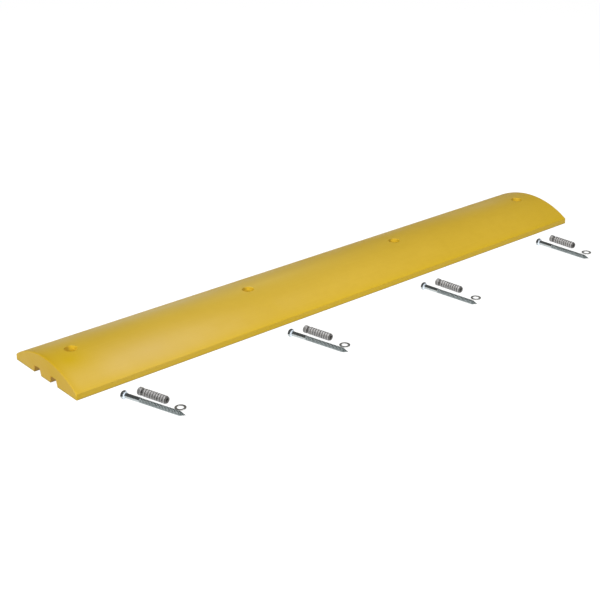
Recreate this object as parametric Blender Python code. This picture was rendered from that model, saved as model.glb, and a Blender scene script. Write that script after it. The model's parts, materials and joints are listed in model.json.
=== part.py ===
"""Cable protector ramp with its anchoring hardware laid out beside it.

The ramp is one long moulding with a crowned top, two cable channels along its
underside and four counterbored screw holes down the middle.  Each hole has a
set of loose hardware on the ground in front of the ramp: a hex lag screw, a
two-half lag shield and a flat washer.

Frame: metres, +Z up, +X along the ramp, the origin in the middle of the
underside.  The loose hardware lies on the -Y side, on the same ground plane.
"""
import math

import bmesh
import bpy
from mathutils import Matrix, Vector

INCH = 0.0254
MM = 0.001

# Ramp moulding
RAMP_LENGTH = 72.0 * INCH
RAMP_WIDTH = 11.5 * INCH
RAMP_HEIGHT = 2.375 * INCH
SIDE_HEIGHT = 16.5 * MM            # height at which the crown would meet the side wall
SIDE_FILLET = 3.5 * MM             # between side wall and crown
END_FILLET = 3.5 * MM              # between end face and crown
CORNER_RADIUS = 2.0 * MM           # upright corners, seen from above
CROWN_STEPS = 28
FILLET_STEPS = 3
END_STEPS = 4

# Cable channels, open at the underside and at both ends
CHANNEL_CENTRE = 39.25 * MM
CHANNEL_WIDTH = 32.5 * MM          # at the ground
CHANNEL_HEIGHT = 19.0 * MM
CHANNEL_DRAFT = 4.5 * MM           # each wall leans in by this much over the height
CHANNEL_FILLET = 2.5 * MM
CHANNEL_FILLET_STEPS = 3

# Screw holes down the middle rib
HOLE_SPACING = 22.0 * INCH
HOLE_COUNT = 4
COUNTERBORE_RADIUS = 16.5 * MM
COUNTERBORE_DEPTH = 1.0 * INCH
HOLE_RADIUS = 7.15 * MM
HOLE_STEPS = 32
CUTTER_OVERRUN = 10.0 * MM

# Lag screw, 1/2 in by 7 in
SCREW_LENGTH = 7.0 * INCH          # under the head
SCREW_RADIUS = 0.25 * INCH
SCREW_POINT_LENGTH = 17.0 * MM
SCREW_TIP_RADIUS = 0.4 * MM
HEAD_ACROSS_FLATS = 0.75 * INCH
HEAD_HEIGHT = 8.7 * MM
HEAD_CHAMFER = 1.2 * MM
SCREW_STEPS = 24

# Lag shield: two half shells joined at the collar, spread apart by the screw
SHIELD_LENGTH = 86.0 * MM
SHIELD_RADIUS = 10.2 * MM
SHIELD_NECK_RADIUS = 8.2 * MM      # between the plain collar and the ribs
SHIELD_GROOVE_RADIUS = 8.7 * MM
SHIELD_COLLAR_LENGTH = 9.0 * MM
SHIELD_NECK_END = 15.5 * MM
SHIELD_RIBS_END = 84.0 * MM
SHIELD_RIB_COUNT = 9
SHIELD_BORE_RADIUS = 5.2 * MM
SHIELD_END_BORE_RADIUS = 3.9 * MM
SHIELD_TAPER_START = 56.0 * MM
SHIELD_SLOT = 0.8 * MM
SHIELD_STEPS = 8

# Flat washer
WASHER_RADIUS = 14.5 * MM
WASHER_HOLE_RADIUS = 8.5 * MM
WASHER_THICKNESS = 2.4 * MM
WASHER_STEPS = 32

# Where each set lies: middle of the screw, of the shield and of the washer in
# plan, and the headings of screw and shield, from head or collar to far end.
SETS = (
    {"screw": (-0.795, -0.295), "screw_heading": -72.0,
     "shield": (-0.772, -0.260), "shield_heading": -74.5, "washer": (-0.749, -0.338)},
    {"screw": (-0.281, -0.296), "screw_heading": -76.5,
     "shield": (-0.250, -0.258), "shield_heading": -79.0, "washer": (-0.233, -0.344)},
    {"screw": (0.197, -0.309), "screw_heading": -81.5,
     "shield": (0.238, -0.268), "shield_heading": -85.0, "washer": (0.247, -0.363)},
    {"screw": (0.706, -0.302), "screw_heading": -85.5,
     "shield": (0.753, -0.262), "shield_heading": -89.0, "washer": (0.756, -0.353)},
)


def clear_scene():
    for obj in list(bpy.data.objects):
        bpy.data.objects.remove(obj, do_unlink=True)


def make_material(name, colour, roughness, metallic):
    material = bpy.data.materials.new(name)
    material.use_nodes = True
    shader = material.node_tree.nodes["Principled BSDF"]
    shader.inputs["Base Color"].default_value = (*colour, 1.0)
    shader.inputs["Roughness"].default_value = roughness
    shader.inputs["Metallic"].default_value = metallic
    material.diffuse_color = (*colour, 1.0)
    return material


def mesh_from_bmesh(name, bm, smooth_angle=35.0):
    bmesh.ops.recalc_face_normals(bm, faces=bm.faces[:])
    mesh = bpy.data.meshes.new(name)
    bm.to_mesh(mesh)
    bm.free()
    mesh.shade_smooth()
    mesh.set_sharp_from_angle(angle=math.radians(smooth_angle))
    return mesh


def add_object(name, mesh, material=None):
    obj = bpy.data.objects.new(name, mesh)
    bpy.context.collection.objects.link(obj)
    if material is not None and not mesh.materials:
        mesh.materials.append(material)
    return obj


def loft(name, rings, closed_loop=False):
    """Skin a list of equal rings of points, capping the ends or joining last to first."""
    bm = bmesh.new()
    loops = [[bm.verts.new(point) for point in ring] for ring in rings]
    pairs = list(zip(loops, loops[1:]))
    if closed_loop:
        pairs.append((loops[-1], loops[0]))
    for first, second in pairs:
        count = len(first)
        for i in range(count):
            j = (i + 1) % count
            bm.faces.new((first[i], first[j], second[j], second[i]))
    if not closed_loop:
        bm.faces.new(loops[0])
        bm.faces.new(loops[-1])
    return mesh_from_bmesh(name, bm)


def circle(x, radius, steps):
    """A ring around the X axis."""
    angles = [2.0 * math.pi * i / steps for i in range(steps)]
    return [Vector((x, radius * math.cos(a), radius * math.sin(a))) for a in angles]


def hexagon(x, across_flats, steps):
    """A hexagonal ring around the X axis with flats facing up and down."""
    points = []
    for i in range(steps):
        a = 2.0 * math.pi * i / steps
        radius = across_flats / 2.0 / math.cos(a % (math.pi / 3.0) - math.pi / 6.0)
        points.append(Vector((x, radius * math.cos(a), radius * math.sin(a))))
    return points


# Ramp

def ramp_section(side_inset, top_inset):
    """Outline (y, z) of the ramp's section, from one bottom corner over to the other."""
    rise = RAMP_HEIGHT - SIDE_HEIGHT
    half_width = RAMP_WIDTH / 2.0
    crown = (half_width ** 2 + rise ** 2) / (2.0 * rise)
    centre_z = RAMP_HEIGHT - crown
    crown -= top_inset
    half_width -= side_inset

    fillet_y = half_width - SIDE_FILLET
    fillet_z = centre_z + math.sqrt((crown - SIDE_FILLET) ** 2 - fillet_y ** 2)
    edge_angle = math.atan2(fillet_z - centre_z, fillet_y)

    right = [(half_width, 0.0)]
    for i in range(FILLET_STEPS + 1):
        a = edge_angle * i / FILLET_STEPS
        right.append((fillet_y + SIDE_FILLET * math.cos(a), fillet_z + SIDE_FILLET * math.sin(a)))
    for i in range(1, CROWN_STEPS // 2):
        a = edge_angle + (math.pi / 2.0 - edge_angle) * 2.0 * i / CROWN_STEPS
        right.append((crown * math.cos(a), centre_z + crown * math.sin(a)))
    top = [(0.0, centre_z + crown)]
    left = [(-y, z) for y, z in reversed(right)]
    return right + top + left


def rounding(radius, distance):
    """How far a rounded edge has drawn in at a distance short of its sharp end."""
    if distance >= radius:
        return 0.0
    return radius - math.sqrt(radius ** 2 - (radius - distance) ** 2)


def ramp_mesh():
    quarter = [math.pi / 2.0 * i / END_STEPS for i in range(END_STEPS + 1)]
    distances = [END_FILLET * (1.0 - math.cos(a)) for a in quarter]
    half_length = RAMP_LENGTH / 2.0
    stations = [(-half_length + d, d) for d in distances]
    stations += [(half_length - d, d) for d in reversed(distances)]
    rings = []
    for x, distance in stations:
        section = ramp_section(rounding(CORNER_RADIUS, distance), rounding(END_FILLET, distance))
        rings.append([Vector((x, y, z)) for y, z in section])
    return loft("ramp_body", rings)


def channel_cutter(side):
    """A rounded trapezoid prism for the channel on the +1 or -1 side."""
    half_foot = CHANNEL_WIDTH / 2.0
    lean = math.atan2(CHANNEL_DRAFT, CHANNEL_HEIGHT)
    slope = CHANNEL_DRAFT / CHANNEL_HEIGHT
    corner = half_foot - CHANNEL_DRAFT
    setback = CHANNEL_FILLET * math.tan((math.pi / 2.0 - lean) / 2.0)
    below = -CUTTER_OVERRUN
    points = [(half_foot - slope * below, below)]
    for i in range(CHANNEL_FILLET_STEPS + 1):
        a = lean + (math.pi / 2.0 - lean) * i / CHANNEL_FILLET_STEPS
        points.append((corner - setback + CHANNEL_FILLET * math.cos(a),
                       CHANNEL_HEIGHT - CHANNEL_FILLET + CHANNEL_FILLET * math.sin(a)))
    points += [(-y, z) for y, z in reversed(points)]
    reach = RAMP_LENGTH / 2.0 + CUTTER_OVERRUN
    rings = [[Vector((x, side * CHANNEL_CENTRE + y, z)) for y, z in points] for x in (-reach, reach)]
    return add_object(f"channel_cutter_{'back' if side > 0 else 'front'}", loft("channel_cutter", rings))


def hole_cutter(index, x):
    """A stepped plug: through hole below, counterbore above."""
    floor_z = RAMP_HEIGHT - COUNTERBORE_DEPTH
    heights = ((-CUTTER_OVERRUN, HOLE_RADIUS), (floor_z, HOLE_RADIUS),
               (floor_z, COUNTERBORE_RADIUS), (RAMP_HEIGHT + CUTTER_OVERRUN, COUNTERBORE_RADIUS))
    rings = [[Vector((x + p.y, p.z, z)) for p in circle(0.0, radius, HOLE_STEPS)] for z, radius in heights]
    return add_object(f"hole_cutter_{index}", loft("hole_cutter", rings))


def hole_positions():
    first = -HOLE_SPACING * (HOLE_COUNT - 1) / 2.0
    return [first + HOLE_SPACING * i for i in range(HOLE_COUNT)]


def build_ramp(material):
    ramp = add_object("ramp_body", ramp_mesh(), material)
    cutters = [channel_cutter(side) for side in (1, -1)]
    cutters += [hole_cutter(i + 1, x) for i, x in enumerate(hole_positions())]
    for cutter in cutters:
        cutter.hide_render = True
        cutter.display_type = "WIRE"
        cut = ramp.modifiers.new(cutter.name, "BOOLEAN")
        cut.operation = "DIFFERENCE"
        cut.solver = "EXACT"
        cut.object = cutter
    return ramp


# Loose hardware; each piece is modelled along +X from its head or collar

def lag_screw_mesh(material):
    chamfered = HEAD_ACROSS_FLATS / 2.0 - HEAD_CHAMFER / 3.0
    point_start = SCREW_LENGTH - SCREW_POINT_LENGTH
    rings = [
        circle(-HEAD_HEIGHT, chamfered, SCREW_STEPS),
        hexagon(-HEAD_HEIGHT + HEAD_CHAMFER, HEAD_ACROSS_FLATS, SCREW_STEPS),
        hexagon(0.0, HEAD_ACROSS_FLATS, SCREW_STEPS),
        circle(0.0, SCREW_RADIUS, SCREW_STEPS),
        circle(point_start, SCREW_RADIUS, SCREW_STEPS),
        circle(SCREW_LENGTH, SCREW_TIP_RADIUS, SCREW_STEPS),
    ]
    mesh = loft("lag_screw", rings)
    mesh.materials.append(material)
    return mesh


def shield_profile():
    """Closed section (x, radius) of the shield's wall: ribbed outside, tapered bore."""
    pitch = (SHIELD_RIBS_END - SHIELD_NECK_END) / SHIELD_RIB_COUNT
    outside = [(0.0, SHIELD_RADIUS), (SHIELD_COLLAR_LENGTH, SHIELD_RADIUS),
               (SHIELD_COLLAR_LENGTH + 1.5 * MM, SHIELD_NECK_RADIUS)]
    for i in range(SHIELD_RIB_COUNT):
        start = SHIELD_NECK_END + pitch * i
        outside.append((start, SHIELD_GROOVE_RADIUS if i else SHIELD_NECK_RADIUS))
        outside.append((start + 0.35 * pitch, SHIELD_RADIUS))
        outside.append((start + 0.75 * pitch, SHIELD_RADIUS))
    outside += [(SHIELD_RIBS_END, SHIELD_GROOVE_RADIUS), (SHIELD_LENGTH, SHIELD_GROOVE_RADIUS)]
    inside = [(SHIELD_LENGTH, SHIELD_END_BORE_RADIUS), (SHIELD_TAPER_START, SHIELD_BORE_RADIUS),
              (0.0, SHIELD_BORE_RADIUS)]
    return outside + inside


def shield_half_mesh(side, material):
    """Half of the shield, on the +Y or -Y side of the slot; the origin is on the hinge axis."""
    rings = []
    for i in range(SHIELD_STEPS + 1):
        a = math.pi * (i / SHIELD_STEPS - 0.5)
        ring = [Vector((x, side * (SHIELD_SLOT / 2.0 + radius * math.cos(a)), radius * math.sin(a)))
                for x, radius in shield_profile()]
        rings.append(ring)
    mesh = loft("shield_half", rings)
    mesh.materials.append(material)
    return mesh


def washer_mesh(material):
    corners = ((0.0, WASHER_HOLE_RADIUS), (0.0, WASHER_RADIUS),
               (WASHER_THICKNESS, WASHER_RADIUS), (WASHER_THICKNESS, WASHER_HOLE_RADIUS))
    rings = [[Vector((p.y, p.z, z)) for p in circle(0.0, radius, WASHER_STEPS)] for z, radius in corners]
    mesh = loft("flat_washer", rings, closed_loop=True)
    mesh.materials.append(material)
    return mesh


def screw_placement(middle, heading):
    """The head rests on a flat and the thread's last full turn touches the ground."""
    half_head = HEAD_ACROSS_FLATS / 2.0
    dip = math.atan2(half_head - SCREW_RADIUS, SCREW_LENGTH - SCREW_POINT_LENGTH)
    turn = Matrix.Rotation(math.radians(heading), 4, "Z")
    along = turn @ Vector((1.0, 0.0, 0.0))
    start = Vector((*middle, 0.0)) - along * (SCREW_LENGTH - HEAD_HEIGHT) / 2.0
    start.z = half_head * math.cos(dip)
    return Matrix.Translation(start) @ turn @ Matrix.Rotation(dip, 4, "Y")


def shield_placement(middle, heading):
    turn = Matrix.Rotation(math.radians(heading), 4, "Z")
    start = Vector((*middle, SHIELD_RADIUS)) - (turn @ Vector((1.0, 0.0, 0.0))) * SHIELD_LENGTH / 2.0
    return Matrix.Translation(start) @ turn


def build_hardware(steel, cast_zinc):
    screw = lag_screw_mesh(steel)
    halves = {"fixed": shield_half_mesh(1, cast_zinc), "hinged": shield_half_mesh(-1, cast_zinc)}
    washer = washer_mesh(steel)
    for number, layout in enumerate(SETS, start=1):
        piece = add_object(f"lag_screw_{number}", screw)
        piece.matrix_world = screw_placement(layout["screw"], layout["screw_heading"])
        for which, mesh in halves.items():
            piece = add_object(f"shield_{which}_half_{number}", mesh)
            piece.matrix_world = shield_placement(layout["shield"], layout["shield_heading"])
        piece = add_object(f"flat_washer_{number}", washer)
        piece.location = (*layout["washer"], 0.0)


def main():
    clear_scene()
    yellow = make_material("yellow_plastic", (0.62, 0.39, 0.035), 0.42, 0.0)
    steel = make_material("zinc_plated_steel", (0.36, 0.39, 0.39), 0.38, 0.9)
    cast_zinc = make_material("cast_zinc", (0.33, 0.31, 0.29), 0.55, 0.8)
    build_ramp(yellow)
    build_hardware(steel, cast_zinc)


main()
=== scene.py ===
"""Looks of the cable protector ramp and the anchoring hardware laid out beside it.

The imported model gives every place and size; the visible pieces here stand for its nodes
and add what they leave out: threads, ribs, rounded edges and surface detail.
"""
import json
import math

import bmesh
import bpy
import numpy as np
from mathutils import Matrix, Vector

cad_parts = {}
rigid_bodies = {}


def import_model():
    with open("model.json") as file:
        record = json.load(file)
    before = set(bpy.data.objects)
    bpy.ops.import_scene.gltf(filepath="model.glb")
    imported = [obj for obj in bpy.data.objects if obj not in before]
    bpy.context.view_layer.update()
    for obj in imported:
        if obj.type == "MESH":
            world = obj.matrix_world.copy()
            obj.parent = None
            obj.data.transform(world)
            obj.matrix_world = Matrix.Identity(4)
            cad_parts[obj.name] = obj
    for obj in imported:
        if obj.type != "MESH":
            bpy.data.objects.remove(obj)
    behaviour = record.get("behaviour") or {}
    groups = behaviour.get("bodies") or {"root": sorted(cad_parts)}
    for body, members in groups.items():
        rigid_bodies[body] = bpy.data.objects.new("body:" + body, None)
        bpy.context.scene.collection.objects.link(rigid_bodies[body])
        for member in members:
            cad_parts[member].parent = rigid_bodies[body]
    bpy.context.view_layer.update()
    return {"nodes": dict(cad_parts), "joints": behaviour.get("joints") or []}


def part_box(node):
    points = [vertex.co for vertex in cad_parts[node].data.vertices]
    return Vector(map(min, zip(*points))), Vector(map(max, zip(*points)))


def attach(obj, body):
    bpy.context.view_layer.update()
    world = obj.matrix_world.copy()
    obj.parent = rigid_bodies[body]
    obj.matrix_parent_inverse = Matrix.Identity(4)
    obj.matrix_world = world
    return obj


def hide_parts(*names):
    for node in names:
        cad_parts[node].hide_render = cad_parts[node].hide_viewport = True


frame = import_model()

MM = 0.001
SET_NUMBERS = (1, 2, 3, 4)

# Camera: place in metres, angles in degrees, lens and sensor in millimetres
CAMERA_LOCATION = (-2.1932, -2.4846, 1.4143)
CAMERA_HEADING = -40.21
CAMERA_PITCH = 66.11
CAMERA_ROLL = -0.46
CAMERA_LENS = 74.65
CAMERA_SENSOR = 36.0
CAMERA_REACH = 100.0

# World: brightness, and the heights of the view's direction between which it changes
TABLE_BOUNCE = 0.45
HORIZON_GLOW = 0.85
OVERHEAD_GLOW = 0.12
BOUNCE_FADE = (-0.06, 0.0)
OVERHEAD_FADE = (0.0, 0.16)

# Floor
FLOOR_REACH = 30.0
FLOOR_DROP = 0.3 * MM
FLOOR_COLOUR = (0.2, 0.2, 0.2, 1.0)
FLOOR_ROUGHNESS = 0.9
FLOOR_GLOW = 0.95
WHITE = (1.0, 1.0, 1.0, 1.0)

# Softboxes: name, place, the point they face, width, power and the group they light
SOFTBOXES = (
    ("key_softbox", (-0.6, -3.4, 2.1), (0.0, 0.0, 0.0), 2.2, 97.0, "ramp"),
    ("left_softbox", (-5.0, -0.2, 3.0), (-0.3, 0.0, 0.0), 2.2, 198.0, "ramp"),
    ("top_softbox", (0.7, 0.25, 2.3), (0.2, 0.0, 0.0), 0.9, 15.5, "ramp"),
    ("shield_softbox", (0.0, 1.0, 2.8), (0.0, -0.3, 0.0), 1.6, 40.0, "shields"),
    ("hardware_softbox", (-0.6, -2.8, 2.0), (0.0, -0.3, 0.0), 1.4, 85.0, "hardware"),
)
LIT_GROUPS = {
    "ramp": ("ramp_moulding", "floor"),
    "shields": ("ribbed_",),
    "hardware": ("ribbed_", "threaded_", "rolled_"),
}

# Ramp section
SIDE_HEIGHT = 16.5 * MM
SIDE_FILLET = 3.5 * MM
END_FILLET = 3.5 * MM
CORNER_RADIUS = 2.0 * MM
CROWN_STEPS = 112
FILLET_STEPS = 8
END_STEPS = 10
CROWN_TOLERANCE = 0.1 * MM

# Ramp channels
CHANNEL_CENTRE = 39.25 * MM
CHANNEL_WIDTH = 32.5 * MM
CHANNEL_HEIGHT = 19.0 * MM
CHANNEL_DRAFT = 4.5 * MM
CHANNEL_FILLET = 2.5 * MM
CHANNEL_STEPS = 6
MOUTH_ROUNDING = 1.2 * MM

# Ramp holes
HOLE_COUNT = 4
HOLE_SPACING = 0.5588
HOLE_RADIUS = 7.15 * MM
HOLE_CHAMFER = 0.5 * MM
HOLE_STEPS = 72
COUNTERBORE_RADIUS = 16.5 * MM
COUNTERBORE_DEPTH = 25.4 * MM
COUNTERBORE_FILLET = 1.0 * MM
COUNTERBORE_FILLET_STEPS = 5
COUNTERBORE_LIP = 1.3 * MM
COUNTERBORE_LIP_STEPS = 6

# Cutting
OVERRUN = 10.0 * MM
SLIVER = 0.01 * MM

# Lag screw: each rounding of the head is a length along it and an inset across it
SCREW_LENGTH = 177.8 * MM
SCREW_RADIUS = 6.35 * MM
SCREW_STEPS = 48
HEAD_ACROSS_FLATS = 19.05 * MM
HEAD_HEIGHT = 8.7 * MM
HEAD_TOP_RADIUS = 9.05 * MM
HEAD_TOP_ROUNDING = (0.06 * MM, 0.35 * MM)
HEAD_FOOT_ROUNDING = (0.4 * MM, 0.25 * MM)
HEAD_BEVEL_SLOPE = math.tan(math.radians(60.0))
HEAD_BEVEL_LENGTH = 1.8 * MM
HEAD_BEVEL_STEPS = 14
HEAD_FILLET = 0.5 * MM
HEAD_FILLET_MIDDLE = 0.35 * HEAD_FILLET
SCREW_END_BAND = 0.5 * MM

# Screw thread: the way from crest to foot, and the flank's width, are shares of the pitch
THREAD_START = 45.0 * MM
THREAD_PITCH = 4.233 * MM
THREAD_DEPTH = 1.45 * MM
THREAD_FOOT = 0.27
THREAD_FLANK = 0.21
THREAD_TURN_STEPS = 14
POINT_LENGTH = 17.0 * MM
TIP_RADIUS = 0.4 * MM
TIP_CORE_SHARE = 0.6
TIP_DEPTH_SHARE = 0.35

# Lag shield
SHIELD_LENGTH = 86.0 * MM
SHIELD_RADIUS = 10.2 * MM
SHIELD_NECK_RADIUS = 8.2 * MM
SHIELD_GROOVE_RADIUS = 8.3 * MM
SHIELD_COLLAR_LENGTH = 9.0 * MM
SHIELD_COLLAR_ROUNDING = 0.6 * MM
SHIELD_NECK_SHOULDER = 1.2 * MM
SHIELD_NECK_END = 15.5 * MM
SHIELD_RIBS_END = 84.0 * MM
SHIELD_BORE_RADIUS = 5.2 * MM
SHIELD_END_BORE_RADIUS = 3.9 * MM
SHIELD_BORE_CHAMFER = 0.7 * MM
SHIELD_TAPER_START = 56.0 * MM
SHIELD_SLOT = 0.8 * MM
SHIELD_OUTER_STEPS = 264
SHIELD_BORE_STEPS = 60
SHIELD_TURN_STEPS = 28

# Shield ribs: the crest's place, the way from it to the foot, and the flank's width, as shares
# of the pitch
RIB_COUNT = 9
RIB_CREST = 0.55
RIB_FOOT = 0.42
RIB_FLANK = 0.22

# Flat washer
WASHER_RADIUS = 14.5 * MM
WASHER_HOLE_RADIUS = 8.5 * MM
WASHER_THICKNESS = 2.4 * MM
WASHER_TOP_ROUNDING = 0.5 * MM
WASHER_FOOT_ROUNDING = 0.15 * MM
WASHER_TOP_STEPS = 5
WASHER_FOOT_STEPS = 3
WASHER_STEPS = 96

# Yellow plastic
YELLOW = (0.600, 0.392, 0.018)
YELLOW_LIGHT = (0.640, 0.420, 0.026)
YELLOW_DEEP = (0.560, 0.352, 0.014)
YELLOW_STREAK = (0.700, 0.480, 0.050)
# Painted light on the hole walls, and painted shade on their side towards the near end
BORE_PAINTED_LIGHT = (0.730, 0.480, 0.022)
BORE_PAINTED_SHADE = (0.540, 0.350, 0.024)
# Painted shade inside the channels
CHANNEL_PAINTED_SHADE = (0.640, 0.340, 0.000)
# Painted contact shade along the foot, darker towards the bottom
FOOT_PAINTED_SHADE = (0.240, 0.190, 0.040)
MOTTLE_SHARE = 0.22
STREAK_SHARE = 0.12
STREAK_SCALE = (5.0, 260.0, 260.0)
# Share and height of the painted contact shade at the foot
FOOT_SHADE_SHARE = 0.55
FOOT_SHADE_FADE = (0.5 * MM, 4.0 * MM)
BORE_FADE = (COUNTERBORE_RADIUS, COUNTERBORE_RADIUS + 0.8 * MM)
# Where the painted shade on the hole walls fades out, along the ramp from the hole's middle
BORE_SHADE_FADE = (-2.0 * MM, 7.0 * MM)
CHANNEL_SIDE_FADE = (CHANNEL_WIDTH / 2.0 - 0.3 * MM, CHANNEL_WIDTH / 2.0)
CHANNEL_TOP_FADE = (CHANNEL_HEIGHT, CHANNEL_HEIGHT + 0.5 * MM)
PLASTIC_IOR = 1.5
PLASTIC_SPECULAR = 0.38

# Oval patches of painted light and shade on the plastic: the paler, whiter ones are painted sheen, the
# deeper ones beside the nearest hole and on the near end face are painted shade, and the front side wall's
# is painted light: centre, reach, share in the middle, colour
PAINTED_LIGHT_PATCHES = (
    ((-0.68, -0.10, 0.03), (0.46, 0.14, 0.20), 0.6, (0.640, 0.450, 0.150)),     # near end, front slope
    ((-0.20, 0.01, 0.06), (0.75, 0.10, 0.20), 0.8, (0.700, 0.490, 0.080)),      # middle of the crown
    ((-0.50, 0.07, 0.04), (0.75, 0.10, 0.20), 0.8, (0.670, 0.510, 0.170)),      # near end, back slope
    ((0.72, 0.04, 0.06), (0.40, 0.08, 0.20), 0.7, (0.660, 0.470, 0.110)),       # far end of the crown
    ((-0.87, -0.045, 0.05), (0.12, 0.10, 0.20), 1.0, (0.600, 0.390, 0.000)),    # beside the nearest hole
    ((-0.9144, 0.0, 0.02), (0.03, 0.50, 0.30), 1.0, (0.570, 0.350, 0.000)),     # near end face
    ((0.0, -0.1461, 0.0), (4.0, 0.03, 0.05), 1.0, (0.660, 0.430, 0.000)),       # front side wall
)

# Zinc-plated steel of the screws
STEEL_DARK = (0.42, 0.46, 0.46)
STEEL_LIGHT = (0.52, 0.56, 0.57)
# Painted shade in the thread roots
STEEL_ROOT_SHADE = (0.20, 0.23, 0.23)
# Painted highlight on the bearing face and the start of the shank
STEEL_BEARING_HIGHLIGHT = (0.86, 0.92, 0.98)
# Radii over which the painted shade in the thread roots fades out
ROOT_SHADE_FADE = (4.7 * MM, 6.3 * MM)
# Band of the painted highlight along the screw
BEARING_START = (-1.6 * MM, -0.8 * MM)
BEARING_END = (1.0 * MM, 2.5 * MM)
THREAD_FADE = (THREAD_START - 1.0 * MM, THREAD_START + 1.0 * MM)
SHANK_ROUGHNESS = 0.18
THREAD_ROUGHNESS = 0.60
BEARING_ROUGHNESS = 0.6

# Steel of the washers
WASHER_DARK = (0.58, 0.58, 0.56)
WASHER_LIGHT = (0.68, 0.68, 0.66)

# Cast zinc of the shields
ZINC_DARK = (0.44, 0.43, 0.425)
ZINC_LIGHT = (0.56, 0.55, 0.545)
ZINC_COLLAR = (0.36, 0.355, 0.35)
# Painted shade between the ribs
ZINC_GROOVE_SHADE = (0.12, 0.115, 0.11)
ZINC_METALLIC = 0.3
CREST_FADE = (SHIELD_GROOVE_RADIUS + 0.2 * MM, SHIELD_RADIUS - 0.2 * MM)
COLLAR_FADE = (SHIELD_COLLAR_LENGTH - 0.5 * MM, SHIELD_COLLAR_LENGTH + 0.5 * MM)


# Meshes

def clamp(value):
    """The value, kept between 0 and 1."""
    return min(1.0, max(0.0, value))


def smoothstep(value):
    t = clamp(value)
    return t * t * (3.0 - 2.0 * t)


def rounding(radius, distance):
    """How far a rounded edge has drawn in at a distance short of its sharp end."""
    if distance >= radius:
        return 0.0
    return radius - math.sqrt(radius ** 2 - (radius - distance) ** 2)


def arc(centre, radius, start, end, steps):
    """Points on an arc, angles in degrees."""
    angles = [math.radians(start + (end - start) * i / steps) for i in range(steps + 1)]
    return [(centre[0] + radius * math.cos(a), centre[1] + radius * math.sin(a)) for a in angles]


def turned_rings(profile, steps, centre_x=0.0):
    """Rings of points about an upright axis, one for each (radius, z) of the profile."""
    angles = [2.0 * math.pi * i / steps for i in range(steps)]
    return [[Vector((centre_x + radius * math.cos(a), radius * math.sin(a), z)) for a in angles]
            for radius, z in profile]


def loft(name, rings, closed_loop=False, smooth_angle=40.0):
    """Skin a list of equal rings of points, capping the ends or joining last to first."""
    bm = bmesh.new()
    loops = [[bm.verts.new(point) for point in ring] for ring in rings]
    pairs = list(zip(loops, loops[1:]))
    if closed_loop:
        pairs.append((loops[-1], loops[0]))
    for first, second in pairs:
        count = len(first)
        for i in range(count):
            j = (i + 1) % count
            bm.faces.new((first[i], first[j], second[j], second[i]))
    if not closed_loop:
        bm.faces.new(loops[0])
        bm.faces.new(loops[-1])
    bmesh.ops.recalc_face_normals(bm, faces=bm.faces[:])
    mesh = bpy.data.meshes.new(name)
    bm.to_mesh(mesh)
    bm.free()
    mesh.shade_smooth()
    mesh.set_sharp_from_angle(angle=math.radians(smooth_angle))
    return mesh


def add_object(name, data):
    thing = bpy.data.objects.new(name, data)
    bpy.context.scene.collection.objects.link(thing)
    return thing


def add_piece(name, mesh, material, body, node, matrix=Matrix.Identity(4)):
    """A visible piece that rides on a body and stands for a node."""
    piece = add_object(name, mesh)
    if not mesh.materials:
        mesh.materials.append(material)
    piece.matrix_world = matrix
    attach(piece, body)
    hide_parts(node)


# Ramp

class RampSection:
    """The ramp's section across its length, from its box in the frame."""

    def __init__(self):
        low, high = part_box("ramp_body")
        self.half_length = (high.x - low.x) / 2.0
        self.half_width = (high.y - low.y) / 2.0
        self.height = high.z
        rise = self.height - SIDE_HEIGHT
        self.crown = (self.half_width ** 2 + rise ** 2) / (2.0 * rise)
        self.centre_z = self.height - self.crown

    def outline(self, side_inset, top_inset):
        """From one foot over the crown to the other, drawn in by the insets."""
        crown = self.crown - top_inset
        half_width = self.half_width - side_inset
        fillet_y = half_width - SIDE_FILLET
        fillet_z = self.centre_z + math.sqrt((crown - SIDE_FILLET) ** 2 - fillet_y ** 2)
        edge = math.degrees(math.atan2(fillet_z - self.centre_z, fillet_y))
        right = [(half_width, 0.0)]
        right += arc((fillet_y, fillet_z), SIDE_FILLET, 0.0, edge, FILLET_STEPS)
        right += arc((0.0, self.centre_z), crown, edge, 90.0, CROWN_STEPS // 2)[1:-1]
        left = [(-y, z) for y, z in reversed(right)]
        return right + [(0.0, self.centre_z + crown)] + left


def ramp_mesh(section):
    """The whole bar, rounded in at both ends, before anything is cut out of it."""
    quarter = [math.pi / 2.0 * i / END_STEPS for i in range(END_STEPS + 1)]
    distances = [END_FILLET * (1.0 - math.cos(a)) for a in quarter]
    stations = [(-section.half_length + d, d) for d in distances]
    stations += [(section.half_length - d, d) for d in reversed(distances)]
    rings = []
    for x, distance in stations:
        outline = section.outline(rounding(CORNER_RADIUS, distance), rounding(END_FILLET, distance))
        rings.append([Vector((x, y, z)) for y, z in outline])
    return loft("ramp_moulding", rings)


def channel_outline(grow):
    """Rounded trapezoid, wider all round by grow."""
    lean = math.degrees(math.atan2(CHANNEL_DRAFT, CHANNEL_HEIGHT))
    slope = CHANNEL_DRAFT / CHANNEL_HEIGHT
    half_foot = CHANNEL_WIDTH / 2.0 + grow
    height = CHANNEL_HEIGHT + grow
    setback = CHANNEL_FILLET * math.tan(math.radians((90.0 - lean) / 2.0))
    corner = (half_foot - slope * height - setback, height - CHANNEL_FILLET)
    right = [(half_foot + slope * OVERRUN, -OVERRUN)]
    right += arc(corner, CHANNEL_FILLET, lean, 90.0, CHANNEL_STEPS)
    return right + [(-y, z) for y, z in reversed(right)]


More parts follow.
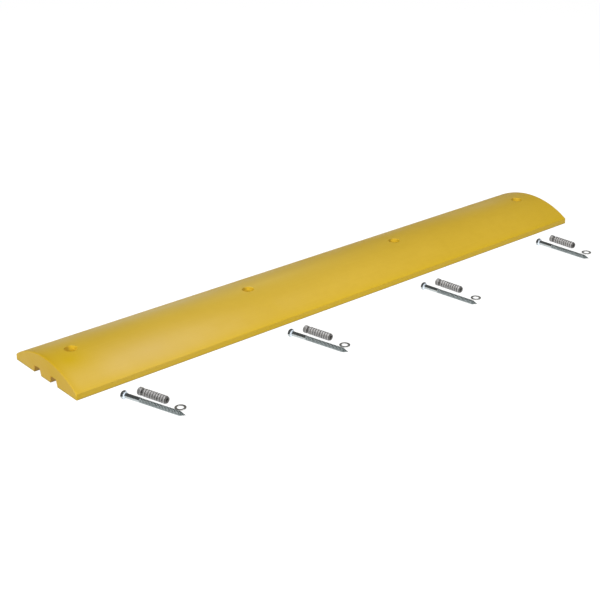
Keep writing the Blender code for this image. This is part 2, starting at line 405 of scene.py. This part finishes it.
def channel_cutter(section, side):
    """Runs out past both ends, and widens at the mouths to round their edges."""
    steps = [math.pi / 2.0 * i / CHANNEL_STEPS for i in range(CHANNEL_STEPS + 1)]
    flare = [(MOUTH_ROUNDING * (1.0 - math.cos(a)), MOUTH_ROUNDING * (1.0 - math.sin(a))) for a in steps]
    end = section.half_length
    stations = [(-end - OVERRUN, MOUTH_ROUNDING)]
    stations += [(-end + inward, grow) for inward, grow in flare]
    stations += [(-x, grow) for x, grow in reversed(stations)]
    rings = [[Vector((x, side * CHANNEL_CENTRE + y, z)) for y, z in channel_outline(grow)]
             for x, grow in stations]
    return loft("channel_cutter", rings)


def hole_cutter(section, x):
    """Through hole and counterbore, with a rounded lip where it meets the crown."""
    floor_z = section.height - COUNTERBORE_DEPTH
    lip_z = section.height - COUNTERBORE_LIP
    inner = COUNTERBORE_RADIUS - COUNTERBORE_FILLET
    outer = COUNTERBORE_RADIUS + COUNTERBORE_LIP
    profile = [(HOLE_RADIUS, -OVERRUN), (HOLE_RADIUS, floor_z - HOLE_CHAMFER)]
    profile += [(HOLE_RADIUS + HOLE_CHAMFER, floor_z), (inner, floor_z)]
    profile += arc((inner, floor_z + COUNTERBORE_FILLET), COUNTERBORE_FILLET, -90.0, 0.0,
                   COUNTERBORE_FILLET_STEPS)[1:]
    profile += arc((outer, lip_z), COUNTERBORE_LIP, 180.0, 90.0, COUNTERBORE_LIP_STEPS)
    profile += [(outer, section.height + OVERRUN)]
    return loft("hole_cutter", turned_rings(profile, HOLE_STEPS, x))


def cut_away(mesh, cutters):
    """A copy of a mesh with the cutters taken out of it."""
    solid = add_object("ramp_cutting", mesh)
    helpers = [add_object("cutter", cutter) for cutter in cutters]
    for helper in helpers:
        cut = solid.modifiers.new("cut", "BOOLEAN")
        cut.operation = "DIFFERENCE"
        cut.solver = "EXACT"
        cut.object = helper
    graph = bpy.context.evaluated_depsgraph_get()
    result = bpy.data.meshes.new_from_object(solid.evaluated_get(graph))
    for helper in helpers + [solid]:
        bpy.data.objects.remove(helper, do_unlink=True)
    return result


def merge_slivers(mesh):
    """Close up the needle-thin faces that cutting leaves behind."""
    bm = bmesh.new()
    bm.from_mesh(mesh)
    bmesh.ops.remove_doubles(bm, verts=bm.verts[:], dist=SLIVER)
    bmesh.ops.dissolve_degenerate(bm, edges=bm.edges[:], dist=SLIVER)
    bm.to_mesh(mesh)
    bm.free()


def crown_normals(mesh, section):
    """True normals on the crown, so that cutting the holes leaves no shading marks."""
    inner = section.half_length - END_FILLET
    normals = [(0.0, 0.0, 0.0)] * len(mesh.loops)
    for face in mesh.polygons:
        corners = [mesh.vertices[v].co for v in face.vertices]
        radii = [math.hypot(c.y, c.z - section.centre_z) for c in corners]
        on_crown = all(abs(r - section.crown) < CROWN_TOLERANCE for r in radii)
        if not on_crown or any(abs(c.x) > inner + CROWN_TOLERANCE for c in corners):
            continue
        for loop, corner in zip(face.loop_indices, corners):
            normals[loop] = Vector((0.0, corner.y, corner.z - section.centre_z)).normalized()
    mesh.normals_split_custom_set(normals)


def build_ramp():
    section = RampSection()
    cutters = [channel_cutter(section, side) for side in (1, -1)]
    cutters += [hole_cutter(section, HOLE_SPACING * (i - (HOLE_COUNT - 1) / 2.0)) for i in range(HOLE_COUNT)]
    mesh = cut_away(ramp_mesh(section), cutters)
    merge_slivers(mesh)
    crown_normals(mesh, section)
    add_piece("ramp_moulding", mesh, yellow_plastic(), "ramp", "ramp_body")


# Lag screws, modelled along +X with the origin in the middle of the head's bearing face

def head_radius(x, angle):
    """Hexagon across flats, with its corners cut by a 30 degree cone on the top side."""
    flat = HEAD_ACROSS_FLATS / 2.0 / math.cos(angle % (math.pi / 3.0) - math.pi / 6.0)
    cone = HEAD_TOP_RADIUS + (x + HEAD_HEIGHT) * HEAD_BEVEL_SLOPE
    return min(flat, cone)


def thread_radius(x, angle):
    """A right-hand thread that deepens over its first turn and tapers to the point."""
    depth_share = smoothstep((x - THREAD_START) / THREAD_PITCH)
    to_tip = clamp((SCREW_LENGTH - x) / POINT_LENGTH)
    crest = TIP_RADIUS + (SCREW_RADIUS - TIP_RADIUS) * to_tip
    depth = THREAD_DEPTH * depth_share * (TIP_DEPTH_SHARE + (1.0 - TIP_DEPTH_SHARE) * to_tip)
    core = max(TIP_RADIUS * TIP_CORE_SHARE, crest - depth)
    phase = (x / THREAD_PITCH - angle / (2.0 * math.pi)) % 1.0
    from_crest = min(phase, 1.0 - phase)
    return core + (crest - core) * clamp((THREAD_FOOT - from_crest) / THREAD_FLANK)


def screw_ring(x, radius_at):
    """Points round the screw at x, where radius_at gives the radius for an angle."""
    angles = [2.0 * math.pi * i / SCREW_STEPS for i in range(SCREW_STEPS)]
    return [Vector((x, radius_at(a) * math.cos(a), radius_at(a) * math.sin(a))) for a in angles]


def head_rings():
    """From the head's top down its bevelled corners and sides to the bearing face's edge."""
    top_depth, top_inset = HEAD_TOP_ROUNDING
    foot_height, foot_inset = HEAD_FOOT_ROUNDING
    rings = [screw_ring(-HEAD_HEIGHT, lambda a: HEAD_TOP_RADIUS - top_inset)]
    for i in range(HEAD_BEVEL_STEPS + 1):
        x = -HEAD_HEIGHT + top_depth + HEAD_BEVEL_LENGTH * i / HEAD_BEVEL_STEPS
        rings.append(screw_ring(x, lambda a: head_radius(x, a)))
    rings.append(screw_ring(-foot_height, lambda a: head_radius(0.0, a)))
    rings.append(screw_ring(0.0, lambda a: head_radius(0.0, a) - foot_inset))
    return rings


def shank_rings():
    """From the fillet under the head along the plain shank and the thread to the tip."""
    plain = ((0.0, SCREW_RADIUS + HEAD_FILLET), (HEAD_FILLET_MIDDLE, SCREW_RADIUS + HEAD_FILLET_MIDDLE),
             (HEAD_FILLET, SCREW_RADIUS), (THREAD_START, SCREW_RADIUS))
    rings = [screw_ring(x, lambda a: radius) for x, radius in plain]
    count = int((SCREW_LENGTH - THREAD_START) / THREAD_PITCH * THREAD_TURN_STEPS)
    for i in range(1, count + 1):
        x = THREAD_START + (SCREW_LENGTH - THREAD_START) * i / count
        rings.append(screw_ring(x, lambda a: thread_radius(x, a)))
    return rings


def screw_matrix(node):
    """Placement of a lag screw from the ends of its CAD solid, with the tip towards -Y."""
    points = np.unique([np.round(v.co, 6) for v in frame["nodes"][node].data.vertices], axis=0)
    middle = points.mean(axis=0)
    axis = np.linalg.svd(points - middle)[2][0]
    axis = axis if axis[1] < 0 else -axis
    along = (points - middle) @ axis
    head = points[along < along.min() + SCREW_END_BAND].mean(axis=0)
    tip = points[along > along.max() - SCREW_END_BAND].mean(axis=0)
    forward = Vector(tip - head).normalized()
    side = Vector((0.0, 0.0, 1.0)).cross(forward).normalized()
    up = forward.cross(side)
    bearing = Vector(head) + forward * HEAD_HEIGHT
    turn = Matrix((forward, side, up)).transposed().to_4x4()
    return Matrix.Translation(bearing) @ turn


# Lag shields, modelled along +X with the origin on the hinge line at the collar

def shield_outer_radius(x):
    """Collar, neck, ribs and the plain end past them."""
    pitch = (SHIELD_RIBS_END - SHIELD_NECK_END) / RIB_COUNT
    if x < SHIELD_COLLAR_LENGTH:
        return SHIELD_RADIUS - rounding(SHIELD_COLLAR_ROUNDING, min(x, SHIELD_COLLAR_LENGTH - x))
    if x < SHIELD_NECK_END:
        away = min(x - SHIELD_COLLAR_LENGTH, SHIELD_NECK_END - x)
        shoulder = SHIELD_RADIUS - SHIELD_COLLAR_ROUNDING
        return shoulder - (shoulder - SHIELD_NECK_RADIUS) * smoothstep(away / SHIELD_NECK_SHOULDER)
    if x > SHIELD_RIBS_END:
        return SHIELD_GROOVE_RADIUS
    from_crest = abs((x - SHIELD_NECK_END) / pitch % 1.0 - RIB_CREST)
    rise = smoothstep((RIB_FOOT - from_crest) / RIB_FLANK)
    return SHIELD_GROOVE_RADIUS + (SHIELD_RADIUS - SHIELD_GROOVE_RADIUS) * rise


def shield_bore_radius(x):
    """Straight, then narrowing towards the far end."""
    if x < SHIELD_TAPER_START:
        return SHIELD_BORE_RADIUS
    share = (x - SHIELD_TAPER_START) / (SHIELD_LENGTH - SHIELD_TAPER_START)
    return SHIELD_BORE_RADIUS + (SHIELD_END_BORE_RADIUS - SHIELD_BORE_RADIUS) * share


def shield_profile():
    """(x, radius) along the outside from collar to end, then back along the bore."""
    outside = [SHIELD_LENGTH * i / SHIELD_OUTER_STEPS for i in range(SHIELD_OUTER_STEPS + 1)]
    bore_length = SHIELD_LENGTH - 2 * SHIELD_BORE_CHAMFER
    inside = [SHIELD_LENGTH - SHIELD_BORE_CHAMFER - bore_length * i / SHIELD_BORE_STEPS
              for i in range(SHIELD_BORE_STEPS + 1)]
    profile = [(x, shield_outer_radius(x)) for x in outside]
    profile += [(SHIELD_LENGTH, SHIELD_END_BORE_RADIUS + SHIELD_BORE_CHAMFER)]
    profile += [(x, shield_bore_radius(x)) for x in inside]
    return profile + [(0.0, SHIELD_BORE_RADIUS + SHIELD_BORE_CHAMFER)]


def shield_half_mesh(side):
    """The profile swept half a turn, and moved out to its side by half of the slot."""
    profile = shield_profile()
    rings = []
    for i in range(SHIELD_TURN_STEPS + 1):
        a = math.pi * (i / SHIELD_TURN_STEPS - 0.5)
        rings.append([Vector((x, side * (SHIELD_SLOT / 2.0 + r * math.cos(a)), r * math.sin(a)))
                      for x, r in profile])
    return loft("shield_half", rings, smooth_angle=38.0)


def shield_matrix(number):
    """Placement of a lag shield from its hinge and the middle of its two halves."""
    hinge = next(j for j in frame["joints"] if j["name"] == f"shield_{number}_spread")
    start = Vector(hinge["pos_m"])
    boxes = [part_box(f"shield_{half}_half_{number}") for half in ("fixed", "hinged")]
    middle = sum((low + high for low, high in boxes), Vector()) / 4.0
    heading = math.atan2(middle.y - start.y, middle.x - start.x)
    return Matrix.Translation(start) @ Matrix.Rotation(heading, 4, "Z")


# Washers

def washer_mesh():
    """A flat ring with rolled upper edges."""
    roll, foot, top = WASHER_TOP_ROUNDING, WASHER_FOOT_ROUNDING, WASHER_THICKNESS
    profile = arc((WASHER_RADIUS - roll, top - roll), roll, 0.0, 90.0, WASHER_TOP_STEPS)
    profile += arc((WASHER_HOLE_RADIUS + roll, top - roll), roll, 90.0, 180.0, WASHER_TOP_STEPS)
    profile += arc((WASHER_HOLE_RADIUS + foot, foot), foot, 180.0, 270.0, WASHER_FOOT_STEPS)
    profile += arc((WASHER_RADIUS - foot, foot), foot, 270.0, 360.0, WASHER_FOOT_STEPS)
    return loft("flat_washer", turned_rings(profile, WASHER_STEPS), closed_loop=True)


def washer_matrix(node):
    low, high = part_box(node)
    return Matrix.Translation(((low.x + high.x) / 2.0, (low.y + high.y) / 2.0, low.z))


def build_hardware():
    steel, washer_metal, zinc = zinc_plated_steel(), washer_steel(), cast_zinc()
    screw = loft("lag_screw", head_rings() + shank_rings(), smooth_angle=32.0)
    washer = washer_mesh()
    halves = (("fixed", shield_half_mesh(1), "shield"), ("hinged", shield_half_mesh(-1), "shield_jaw"))
    for number in SET_NUMBERS:
        node = f"lag_screw_{number}"
        add_piece(f"threaded_screw_{number}", screw, steel, node, node,
                  screw_matrix(node))
        for half, mesh, body in halves:
            add_piece(f"ribbed_{half}_half_{number}", mesh, zinc, f"{body}_{number}",
                      f"shield_{half}_half_{number}", shield_matrix(number))
        node = f"flat_washer_{number}"
        add_piece(f"rolled_washer_{number}", washer, washer_metal,
                  f"washer_{number}", node, washer_matrix(node))


# Materials

def map_range(tree, value, numbers):
    """Follows the value smoothly between two numbers, onto the range of the other two."""
    node = tree.nodes.new("ShaderNodeMapRange")
    node.interpolation_type = "SMOOTHSTEP"
    for name, number in zip(("From Min", "From Max", "To Min", "To Max"), numbers):
        node.inputs[name].default_value = number
    tree.links.new(value, node.inputs["Value"])
    return node.outputs["Result"]


class Nodes:
    """Short calls for building a material's nodes."""

    def __init__(self, name):
        self.material = bpy.data.materials.new(name)
        self.material.use_nodes = True
        self.tree = self.material.node_tree
        self.shader = self.tree.nodes["Principled BSDF"]
        coordinates = self.tree.nodes.new("ShaderNodeTexCoord")
        self.position = coordinates.outputs["Object"]

    def link(self, source, target):
        self.tree.links.new(source, target)

    def scaled(self, scale):
        mapping = self.tree.nodes.new("ShaderNodeMapping")
        mapping.inputs["Scale"].default_value = scale
        self.link(self.position, mapping.inputs["Vector"])
        return mapping.outputs["Vector"]

    def noise(self, scale, detail=3.0, roughness=0.5, vector=None):
        node = self.tree.nodes.new("ShaderNodeTexNoise")
        node.inputs["Scale"].default_value = scale
        node.inputs["Detail"].default_value = detail
        node.inputs["Roughness"].default_value = roughness
        self.link(vector or self.position, node.inputs["Vector"])
        return node.outputs["Fac"]

    def patch(self, centre, reach):
        """1 in the middle of an oval patch, fading to 0 at its edge."""
        mapping = self.tree.nodes.new("ShaderNodeMapping")
        mapping.vector_type = "TEXTURE"
        mapping.inputs["Location"].default_value = centre
        mapping.inputs["Scale"].default_value = reach
        self.link(self.position, mapping.inputs["Vector"])
        node = self.tree.nodes.new("ShaderNodeTexGradient")
        node.gradient_type = "QUADRATIC_SPHERE"
        self.link(mapping.outputs["Vector"], node.inputs["Vector"])
        return node.outputs["Fac"]

    def ramp(self, value, low, high, to_low=0.0, to_high=1.0):
        return map_range(self.tree, value, (low, high, to_low, to_high))

    def mottle(self, scale, to_low=0.0, to_high=1.0, detail=4.0, roughness=0.5):
        """Noise with its middle stretch spread over the whole range."""
        return self.ramp(self.noise(scale, detail, roughness), 0.3, 0.7, to_low, to_high)

    def math(self, operation, first, second=None):
        node = self.tree.nodes.new("ShaderNodeMath")
        node.operation = operation
        for socket, value in zip(node.inputs, (first, second)):
            if isinstance(value, (int, float)):
                socket.default_value = value
            elif value is not None:
                self.link(value, socket)
        return node.outputs["Value"]

    def mix(self, factor, first, second):
        node = self.tree.nodes.new("ShaderNodeMix")
        node.data_type = "RGBA"
        sockets = (node.inputs[0], node.inputs[6], node.inputs[7])
        for socket, value in zip(sockets, (factor, first, second)):
            if isinstance(value, tuple):
                socket.default_value = (*value, 1.0)
            else:
                self.link(value, socket)
        return node.outputs[2]

    def tint(self, colour, mask, share, other):
        """The colour with a share of another one mixed in where the mask is 1."""
        return self.mix(self.math("MULTIPLY", mask, share), colour, other)

    def bump(self, height, strength, distance, normal=None):
        node = self.tree.nodes.new("ShaderNodeBump")
        node.inputs["Strength"].default_value = strength
        node.inputs["Distance"].default_value = distance
        self.link(height, node.inputs["Height"])
        if normal is not None:
            self.link(normal, node.inputs["Normal"])
        return node.outputs["Normal"]

    def coordinate(self, letter):
        split = self.tree.nodes.new("ShaderNodeSeparateXYZ")
        self.link(self.position, split.inputs["Vector"])
        return split.outputs[letter]

    def distance(self, first, second):
        squares = [self.math("MULTIPLY", value, value) for value in (first, second)]
        return self.math("SQRT", self.math("ADD", *squares))

    def axis_distance(self):
        """Distance from the piece's own X axis."""
        return self.distance(self.coordinate("Y"), self.coordinate("Z"))

    def past_hole(self):
        """How far along the ramp from the middle of the nearest hole."""
        along = self.math("FLOORED_MODULO", self.coordinate("X"), HOLE_SPACING)
        return self.math("SUBTRACT", along, HOLE_SPACING / 2.0)


def mottled_yellow_with_painted_light(n):
    """Yellow with broad and fine changes of tone, streaks along the ramp, and patches of painted sheen and
    painted shade.
    """
    fine = n.ramp(n.noise(38.0, detail=4.0, roughness=0.6), 0.35, 0.7)
    streaks = n.ramp(n.noise(1.0, vector=n.scaled(STREAK_SCALE)), 0.45, 0.75)
    colour = n.mix(n.mottle(2.2, detail=2.0), YELLOW, YELLOW_LIGHT)
    colour = n.tint(colour, fine, MOTTLE_SHARE, YELLOW_DEEP)
    colour = n.tint(colour, streaks, STREAK_SHARE, YELLOW_STREAK)
    # Patches of painted sheen and painted shade
    for centre, reach, share, other in PAINTED_LIGHT_PATCHES:
        colour = n.tint(colour, n.patch(centre, reach), share, other)
    return colour


def hole_painted_light_and_shade(n, colour):
    """Painted light: paler, brighter yellow on the hole walls, with painted shade on their side towards the
    near end.
    """
    along = n.past_hole()
    bore = n.ramp(n.distance(along, n.coordinate("Y")), *BORE_FADE, 1.0, 0.0)
    # Painted shade on the near-end side of each hole
    shaded_side = n.ramp(along, *BORE_SHADE_FADE, 1.0, 0.0)
    return n.mix(bore, colour, n.mix(shaded_side, BORE_PAINTED_LIGHT, BORE_PAINTED_SHADE))


def channel_painted_shade(n, colour):
    """Painted shade: deeper orange-yellow inside the channels."""
    off_centre = n.math("SUBTRACT", n.math("ABSOLUTE", n.coordinate("Y")), CHANNEL_CENTRE)
    inside = n.ramp(n.math("ABSOLUTE", off_centre), *CHANNEL_SIDE_FADE, 1.0, 0.0)
    under = n.ramp(n.coordinate("Z"), *CHANNEL_TOP_FADE, 1.0, 0.0)
    return n.mix(n.math("MULTIPLY", inside, under), colour, CHANNEL_PAINTED_SHADE)


def yellow_plastic():
    n = Nodes("yellow_plastic")
    colour = channel_painted_shade(n, hole_painted_light_and_shade(n, mottled_yellow_with_painted_light(n)))
    # Painted contact shade: darker towards the bottom edges
    foot = n.ramp(n.coordinate("Z"), *FOOT_SHADE_FADE, FOOT_SHADE_SHARE, 0.0)
    n.link(n.mix(foot, colour, FOOT_PAINTED_SHADE), n.shader.inputs["Base Color"])
    n.link(n.ramp(n.noise(14.0, detail=5.0), 0.3, 0.75, 0.46, 0.56), n.shader.inputs["Roughness"])
    grain = n.bump(n.noise(900.0, detail=2.0), 0.15, 0.05 * MM)
    ripple = n.bump(n.noise(120.0, detail=2.0), 0.10, 0.25 * MM, grain)
    n.link(ripple, n.shader.inputs["Normal"])
    n.shader.inputs["IOR"].default_value = PLASTIC_IOR
    n.shader.inputs["Specular IOR Level"].default_value = PLASTIC_SPECULAR
    return n.material


def zinc_plated_steel():
    """Shiny on the plain shank, rough in the thread with painted shade in its roots, and rough by the
    bearing face with a painted highlight that makes it pale.
    """
    n = Nodes("zinc_plated_steel")
    x = n.coordinate("X")
    # bearing marks the band of the painted highlight by the bearing face
    bearing = n.math("MULTIPLY", n.ramp(x, *BEARING_START), n.ramp(x, *BEARING_END, 1.0, 0.0))
    colour = n.mix(n.mottle(160.0), STEEL_DARK, STEEL_LIGHT)
    # Painted shade: darker grey in the thread roots
    colour = n.mix(n.ramp(n.axis_distance(), *ROOT_SHADE_FADE), STEEL_ROOT_SHADE, colour)
    n.link(n.mix(bearing, colour, STEEL_BEARING_HIGHLIGHT), n.shader.inputs["Base Color"])
    rough = n.ramp(x, *THREAD_FADE, SHANK_ROUGHNESS, THREAD_ROUGHNESS)
    rough = n.math("MAXIMUM", rough, n.math("MULTIPLY", bearing, BEARING_ROUGHNESS))
    n.link(n.math("ADD", rough, n.mottle(420.0, 0.0, 0.10)), n.shader.inputs["Roughness"])
    n.link(n.bump(n.noise(1600.0, detail=2.0), 0.12, 0.03 * MM), n.shader.inputs["Normal"])
    n.shader.inputs["Metallic"].default_value = 1.0
    return n.material


def washer_steel():
    n = Nodes("washer_steel")
    n.link(n.mix(n.mottle(220.0), WASHER_DARK, WASHER_LIGHT), n.shader.inputs["Base Color"])
    n.link(n.mottle(500.0, 0.42, 0.58), n.shader.inputs["Roughness"])
    n.link(n.bump(n.noise(1500.0, detail=2.0), 0.15, 0.03 * MM), n.shader.inputs["Normal"])
    n.shader.inputs["Metallic"].default_value = 1.0
    return n.material


def cast_zinc():
    """Dull grey, darker on the collar, with painted shade darkest between the ribs."""
    n = Nodes("cast_zinc")
    colour = n.mix(n.mottle(240.0, detail=5.0, roughness=0.65), ZINC_DARK, ZINC_LIGHT)
    colour = n.mix(n.ramp(n.coordinate("X"), *COLLAR_FADE), ZINC_COLLAR, colour)
    # Painted shade: darkest grey between the ribs and on all that lies nearer the axis than the crests
    colour = n.mix(n.ramp(n.axis_distance(), *CREST_FADE), ZINC_GROOVE_SHADE, colour)
    n.link(colour, n.shader.inputs["Base Color"])
    n.link(n.mottle(600.0, 0.45, 0.62), n.shader.inputs["Roughness"])
    n.link(n.bump(n.noise(1100.0), 0.25, 0.06 * MM), n.shader.inputs["Normal"])
    n.shader.inputs["Metallic"].default_value = ZINC_METALLIC
    return n.material


# Stage

def build_camera():
    camera = add_object("camera", bpy.data.cameras.new("camera"))
    turn = Matrix.Rotation(math.radians(CAMERA_HEADING), 4, "Z")
    tilt = Matrix.Rotation(math.radians(CAMERA_PITCH), 4, "X")
    roll = Matrix.Rotation(math.radians(CAMERA_ROLL), 4, "Z")
    camera.matrix_world = Matrix.Translation(CAMERA_LOCATION) @ turn @ tilt @ roll
    camera.data.lens = CAMERA_LENS
    camera.data.sensor_width = CAMERA_SENSOR
    camera.data.clip_end = CAMERA_REACH
    bpy.context.scene.camera = camera


def build_floor():
    """A pale floor that glows but throws no diffuse light onto the pieces."""
    mesh = bpy.data.meshes.new("floor")
    corners = [(x * FLOOR_REACH, y * FLOOR_REACH, -FLOOR_DROP)
               for x, y in ((-1, -1), (1, -1), (1, 1), (-1, 1))]
    mesh.from_pydata(corners, [], [(0, 1, 2, 3)])
    floor = add_object("floor", mesh)
    n = Nodes("pale_floor")
    n.shader.inputs["Base Color"].default_value = FLOOR_COLOUR
    n.shader.inputs["Roughness"].default_value = FLOOR_ROUGHNESS
    n.shader.inputs["Specular IOR Level"].default_value = 0.0
    n.shader.inputs["Emission Color"].default_value = WHITE
    n.shader.inputs["Emission Strength"].default_value = FLOOR_GLOW
    mesh.materials.append(n.material)
    floor.visible_diffuse = False


def build_world():
    """Pale at eye level, darker overhead, and below it the weak bounce of a studio table."""
    world = bpy.data.worlds.new("studio")
    bpy.context.scene.world = world
    world.use_nodes = True
    tree = world.node_tree
    split = tree.nodes.new("ShaderNodeSeparateXYZ")
    tree.links.new(tree.nodes.new("ShaderNodeTexCoord").outputs["Generated"], split.inputs["Vector"])
    dimmer = tree.nodes.new("ShaderNodeMath")
    dimmer.operation = "MINIMUM"
    fades = ((*BOUNCE_FADE, TABLE_BOUNCE, HORIZON_GLOW), (*OVERHEAD_FADE, HORIZON_GLOW, OVERHEAD_GLOW))
    for socket, numbers in zip(dimmer.inputs, fades):
        tree.links.new(map_range(tree, split.outputs["Z"], numbers), socket)
    background = tree.nodes["Background"]
    background.inputs["Color"].default_value = WHITE
    tree.links.new(dimmer.outputs["Value"], background.inputs["Strength"])


def lit_collection(group):
    """A collection of the objects that one group of lights is for."""
    collection = bpy.data.collections.new(f"{group}_receivers")
    for thing in bpy.data.objects:
        if thing.name.startswith(LIT_GROUPS[group]):
            collection.objects.link(thing)
    return collection


def build_lights():
    """Round soft lights, each of which only lights the objects of its group."""
    collections = {group: lit_collection(group) for group in LIT_GROUPS}
    for name, location, target, width, power, group in SOFTBOXES:
        light = bpy.data.lights.new(name, "AREA")
        light.shape = "DISK"
        light.size = width
        light.energy = power
        lamp = add_object(name, light)
        lamp.location = location
        lamp.rotation_euler = (Vector(target) - Vector(location)).to_track_quat("-Z", "Y").to_euler()
        lamp.light_linking.receiver_collection = collections[group]


bpy.context.scene.view_settings.view_transform = "Standard"
build_camera()
build_floor()
build_ramp()
build_hardware()
build_world()
build_lights()
